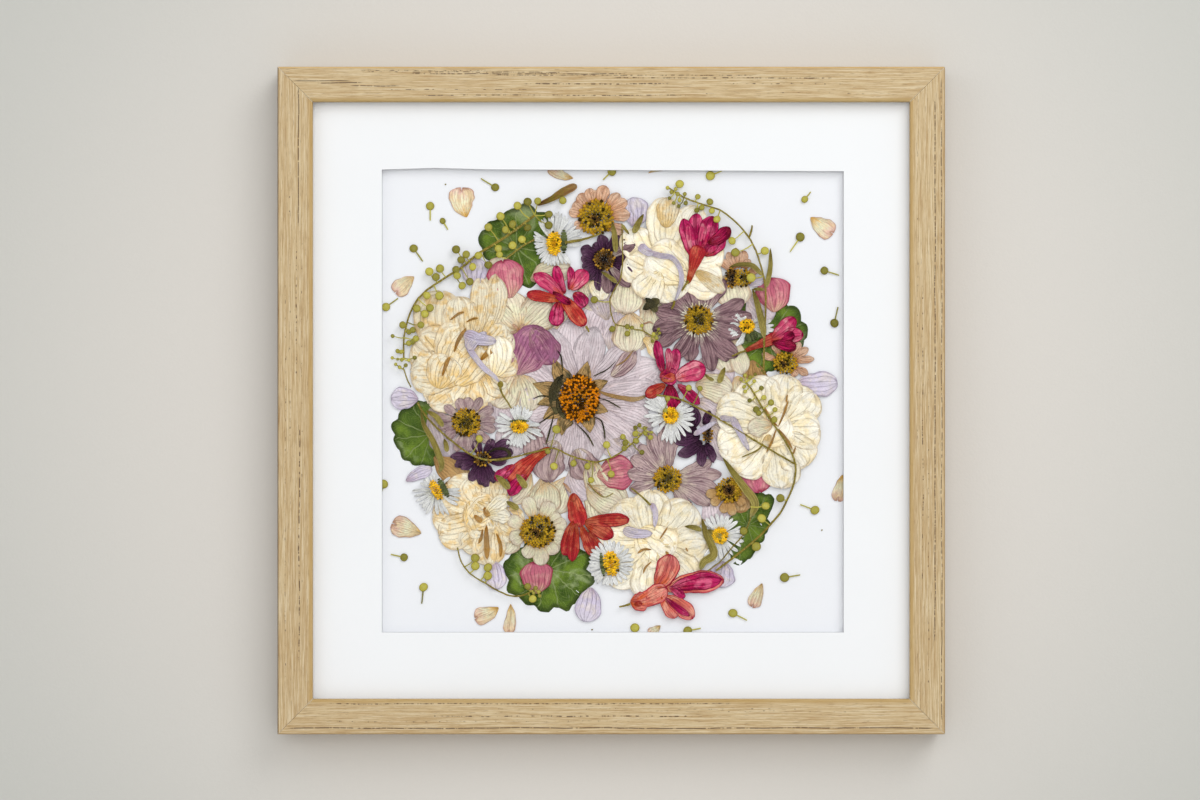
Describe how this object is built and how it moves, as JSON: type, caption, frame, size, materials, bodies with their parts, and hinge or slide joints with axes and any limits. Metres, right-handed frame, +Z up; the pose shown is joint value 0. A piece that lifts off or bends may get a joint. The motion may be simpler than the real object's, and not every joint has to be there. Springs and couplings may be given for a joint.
{
  "type": "pressed flower frame",
  "caption": "Square light-oak frame holding pressed garden flowers, leaves and bud sprays under glass inside a white mat, hung by a sawtooth hanger.",
  "frame": {"origin": "middle notch of the sawtooth hanger, where the wall hook bears, in the back plane of the rails", "axes": "+Y out of the back towards the wall, so the glass faces -Y; +Z up; +X to the right seen from the front"},
  "size_m": [0.33, 0.0224, 0.33],
  "materials": {
    "oak": "light oak, open grain, oiled",
    "clear_glass": "clear float glass",
    "mat_card": "smooth white mat board",
    "mounting_paper": "matt white paper",
    "backing_hardboard": "brown board",
    "hanger_steel": "brassed steel",
    "tab_steel": "bare steel",
    "geranium_leaf": "dried leaf",
    "olive_twig": "dried stem",
    "cream_petal": "pressed petal",
    "white_petal": "pressed petal",
    "peach_petal": "pressed petal",
    "plum_petal": "pressed petal",
    "crimson_petal": "pressed petal",
    "salmon_petal": "pressed petal",
    "cosmos_petal": "pressed petal, thin",
    "hydrangea_petal": "pressed petal",
    "mauve_petal": "pressed petal"
  },
  "bodies": {
    "root": {"backing_board": "backing_hardboard", "beige_daisy_upper_right": "peach_petal", "bud_twig_centre": "olive_twig", "bud_twig_right": "olive_twig", "bud_twig_upper_left": "olive_twig", "bud_twig_upper_right": "olive_twig", "centre_cosmos": "cosmos_petal", "cream_carnation_lower_left": "cream_petal", "cream_carnation_upper_left": "cream_petal", "cream_flower_bottom": "cream_petal", "cream_flower_right": "cream_petal", "cream_flower_upper_right": "cream_petal", "crimson_star_centre": "crimson_petal", "crimson_star_upper_left": "crimson_petal", "crimson_trumpet_right": "crimson_petal", "crimson_trumpet_upper_right": "crimson_petal", "dark_eyed_daisy_lower_right": "peach_petal", "geranium_leaf_bottom": "geranium_leaf", "geranium_leaf_left": "geranium_leaf", "geranium_leaf_lower_right": "geranium_leaf", "geranium_leaf_right": "geranium_leaf", "geranium_leaf_upper_left": "geranium_leaf", "glass_pane": "clear_glass", "golden_daisy_lower_left": "mauve_petal", "hanger_nail_left": "hanger_steel", "hanger_nail_right": "hanger_steel", "mat_board": "mat_card", "mauve_daisy_left": "mauve_petal", "mauve_daisy_right": "mauve_petal", "mauve_hydrangea_floret": "hydrangea_petal", "mounting_sheet": "mounting_paper", "orange_trumpet_bottom": "salmon_petal", "peach_daisy_right": "peach_petal", "peach_daisy_top": "peach_petal", "pink_trumpet_left": "crimson_petal", "pinkish_daisy_lower": "mauve_petal", "plum_daisy_centre_right": "plum_petal", "purple_daisy_left": "plum_petal", "purple_daisy_upper": "plum_petal", "rail_bottom": "oak", "rail_left": "oak", "rail_right": "oak", "rail_top": "oak", "salmon_flower_bottom": "salmon_petal", "sawtooth_hanger": "hanger_steel", "tab_bottom_1": "tab_steel", "tab_bottom_2": "tab_steel", "tab_left_1": "tab_steel", "tab_left_2": "tab_steel", "tab_right_1": "tab_steel", "tab_right_2": "tab_steel", "tab_top_1": "tab_steel", "tab_top_2": "tab_steel", "white_daisy_bottom": "white_petal", "white_daisy_centre_left": "white_petal", "white_daisy_centre_right": "white_petal", "white_daisy_left": "white_petal", "white_daisy_lower_right": "white_petal", "white_daisy_right": "white_petal", "white_daisy_upper": "white_petal"}
  },
  "joints": []
}
